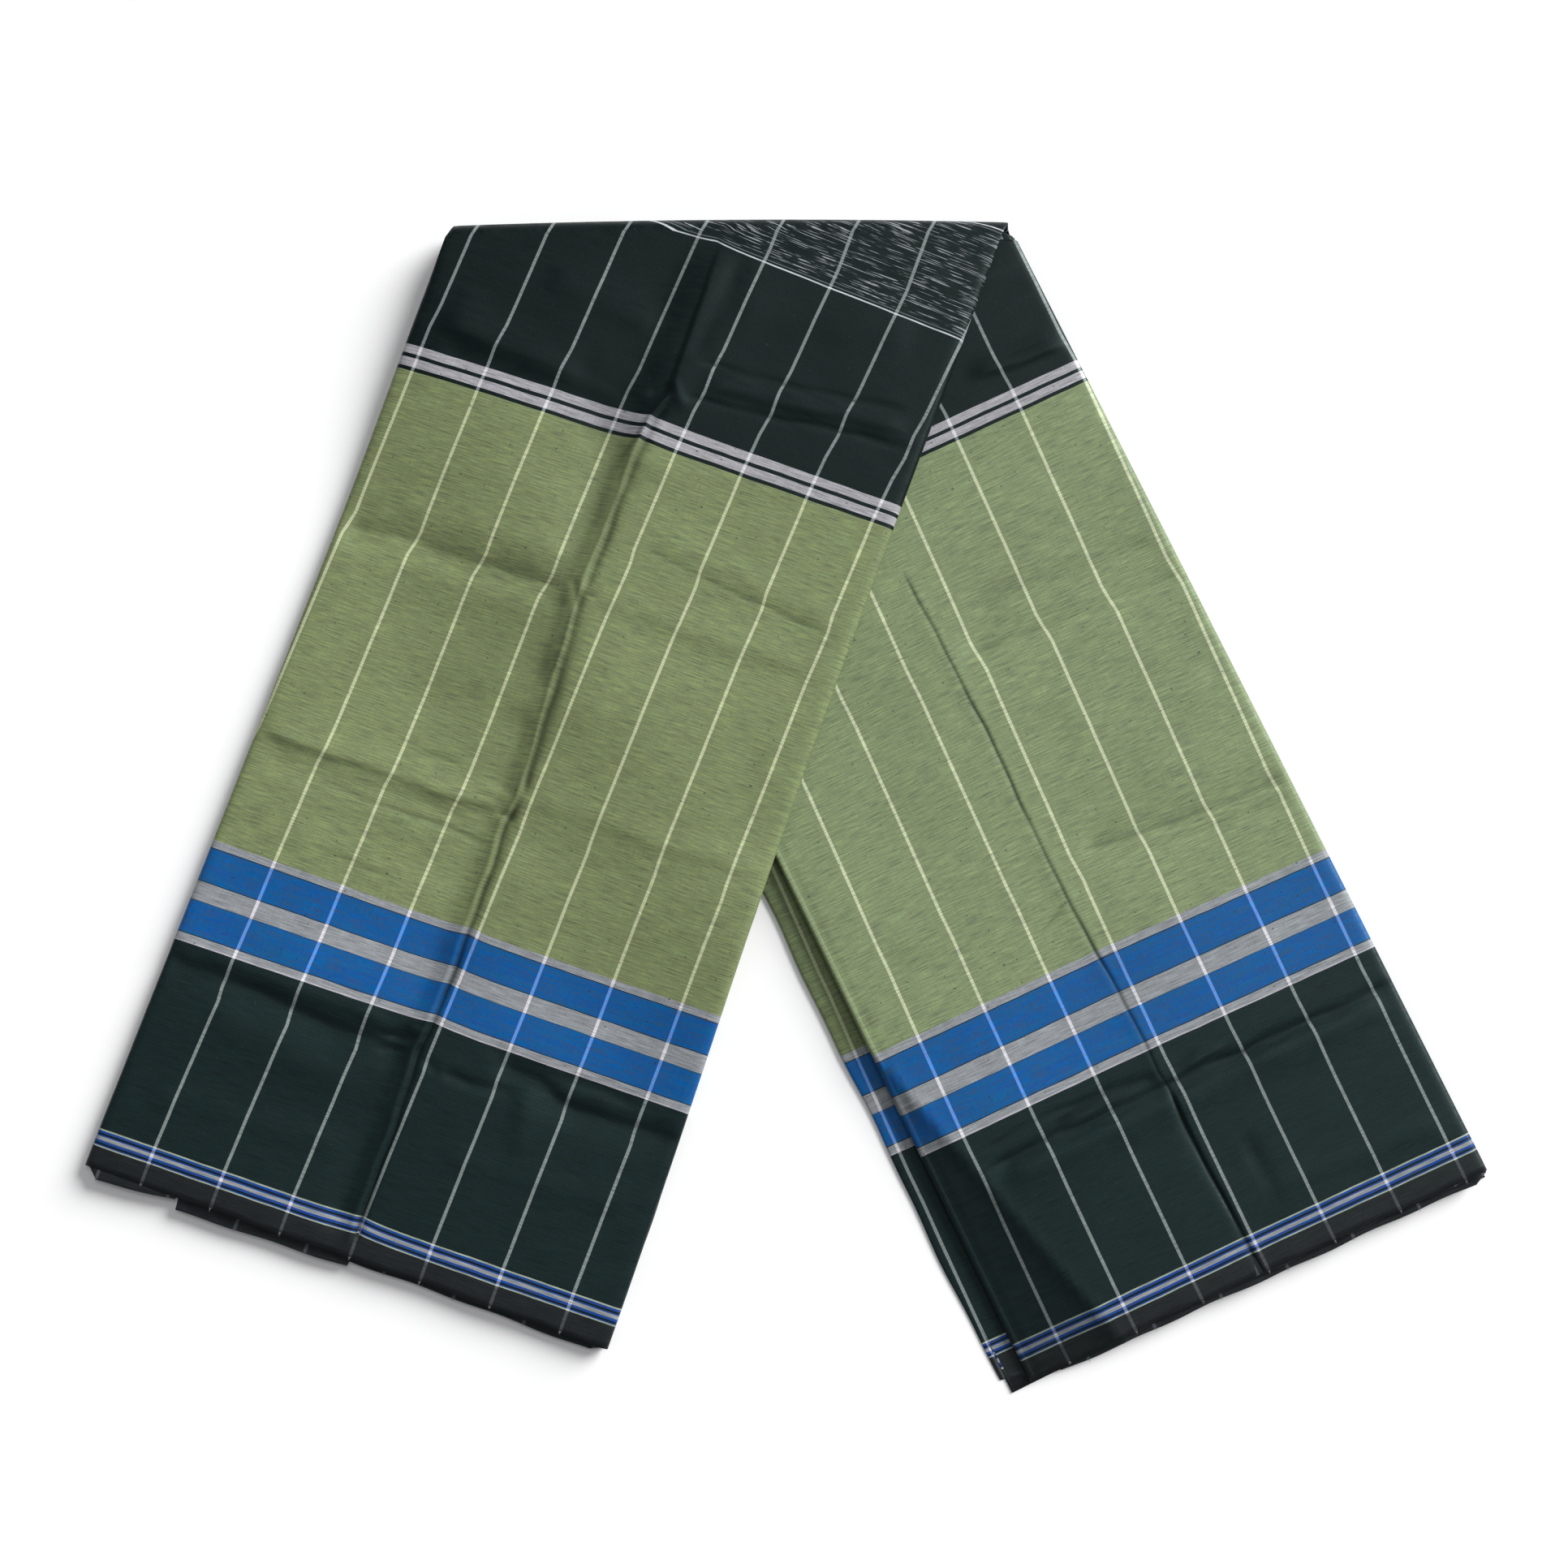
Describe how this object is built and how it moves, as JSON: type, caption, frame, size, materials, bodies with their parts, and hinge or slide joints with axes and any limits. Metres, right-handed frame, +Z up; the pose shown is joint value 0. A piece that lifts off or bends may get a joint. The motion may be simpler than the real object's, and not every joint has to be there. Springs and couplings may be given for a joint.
{
  "type": "folded longyi sarong",
  "caption": "Striped cotton longyi sarong, folded lengthways into a thick strip and bent over in an upturned V, lying flat.",
  "frame": {"origin": "middle of the bounding box's underside, on the surface that the cloth lies on", "axes": "+X to the right across both legs, +Y from the hems towards the folded edge, +Z up"},
  "size_m": [0.72, 0.6208, 0.0192],
  "materials": {
    "face_cotton": "yarn-dyed plain weave cotton in moss green with near-black, blue and grey bands and thin pale crossing lines",
    "layered_cotton": "folded edges of the same cotton, near-black at the hems and banded along the sides",
    "bend_cotton": "near-black cotton with a middle band of fine pale broken dashes",
    "underside_cotton": "the same banded cotton, lying on the surface"
  },
  "bodies": {
    "root": {"left_face": "face_cotton", "left_inner_layers": "layered_cotton", "top_bend": "bend_cotton", "right_face": "face_cotton", "right_inner_layers": "layered_cotton", "right_underside": "underside_cotton"}
  },
  "joints": []
}
